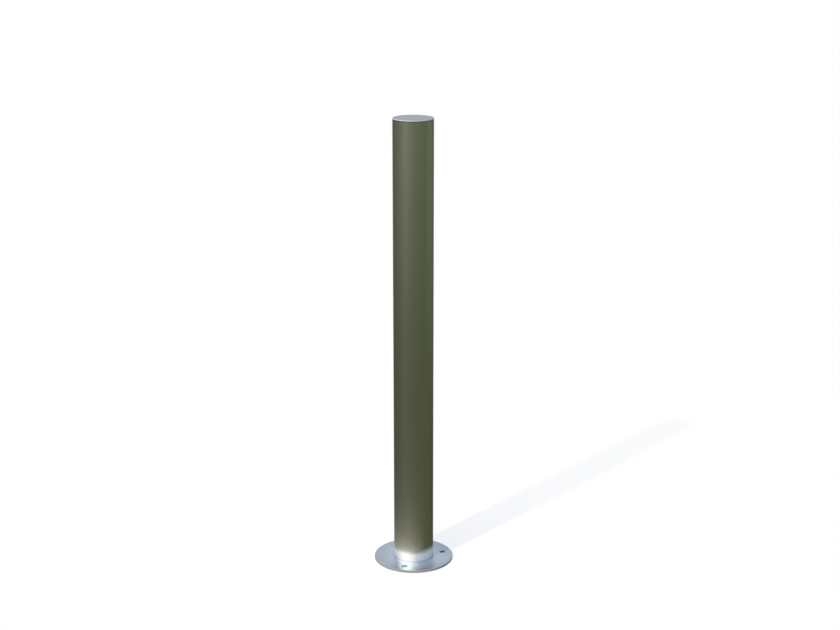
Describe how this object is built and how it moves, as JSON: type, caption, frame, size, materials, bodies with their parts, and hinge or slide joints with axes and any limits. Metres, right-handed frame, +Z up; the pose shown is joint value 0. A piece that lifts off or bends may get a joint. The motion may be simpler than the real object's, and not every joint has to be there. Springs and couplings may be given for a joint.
{
  "type": "fixed street bollard",
  "caption": "Slim round steel bollard: a straight olive green post with a flat bare metal cap, standing on a thin round base plate with anchor holes.",
  "frame": {"origin": "centre of the base plate's underside, on the ground", "axes": "+Z up along the post; the YZ plane runs through one anchor hole, on the -Y side, and mirrors the other two"},
  "size_m": [0.1779, 0.1778, 1.01],
  "materials": {
    "post_finish": "satin olive green with a slight metallic sheen, fading to bare metal over the lowest part",
    "bare_steel": "satin, fine and even"
  },
  "bodies": {
    "root": {"base_plate": "bare_steel", "foot_weld": "bare_steel", "post_tube": "post_finish", "top_cap": "bare_steel"}
  },
  "joints": []
}
